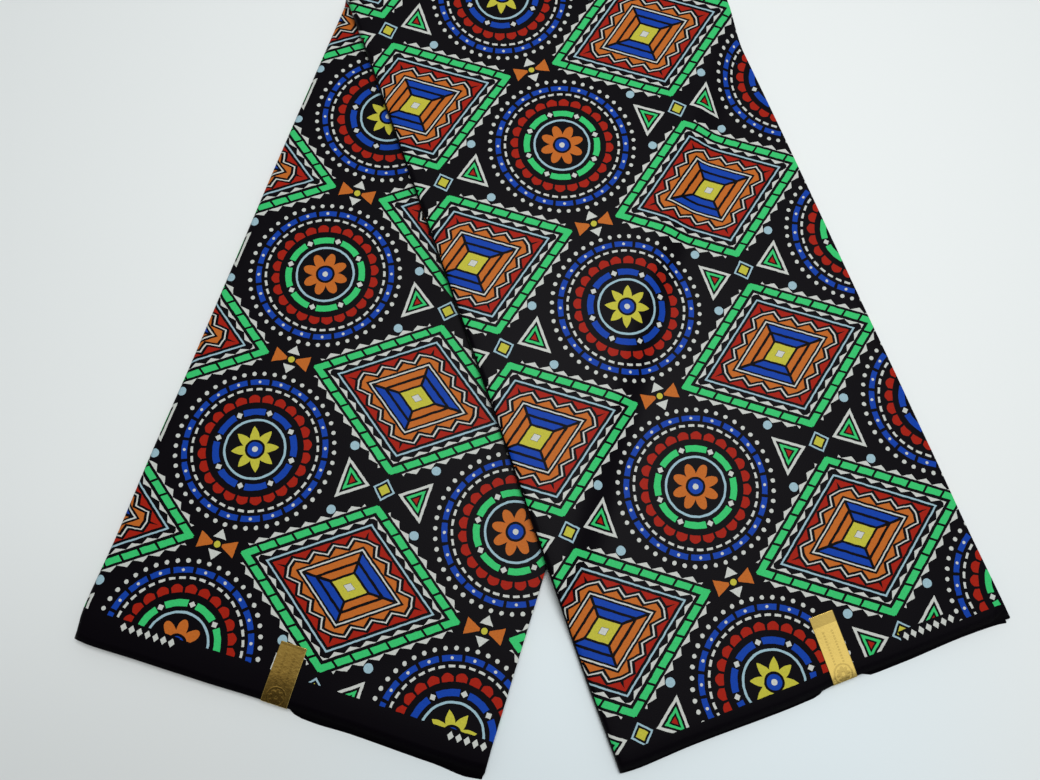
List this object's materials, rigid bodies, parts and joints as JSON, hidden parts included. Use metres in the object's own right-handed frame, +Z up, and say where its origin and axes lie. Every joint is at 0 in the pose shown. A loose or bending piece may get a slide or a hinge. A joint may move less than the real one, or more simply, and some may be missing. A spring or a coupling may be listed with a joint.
{
  "type": "folded wax print fabric",
  "caption": "Long length of printed cotton, plaited flat and folded once, its arms spread as a V on the floor.",
  "frame": {"origin": "middle of the part's box, on the surface that the cloth rests on", "axes": "+Z up off the surface; +Y from the hems towards the fold; +X towards the upper arm's hem"},
  "size_m": [0.6796, 0.6278, 0.021],
  "materials": {
    "printed_cotton": "black wax print cotton with a many-coloured print, calendered, slight sheen",
    "cotton_plies": "edges and hems of the same printed cotton, pressed in plies",
    "foil_label": "thin embossed gold foil on paper, satin"
  },
  "bodies": {
    "root": {"left_cover": "printed_cotton", "left_inner_layers": "cotton_plies", "fold_cover": "printed_cotton", "fold_inner_layers": "cotton_plies", "right_cover": "printed_cotton", "right_inner_layers": "cotton_plies", "left_label": "foil_label", "right_label": "foil_label"}
  },
  "joints": []
}
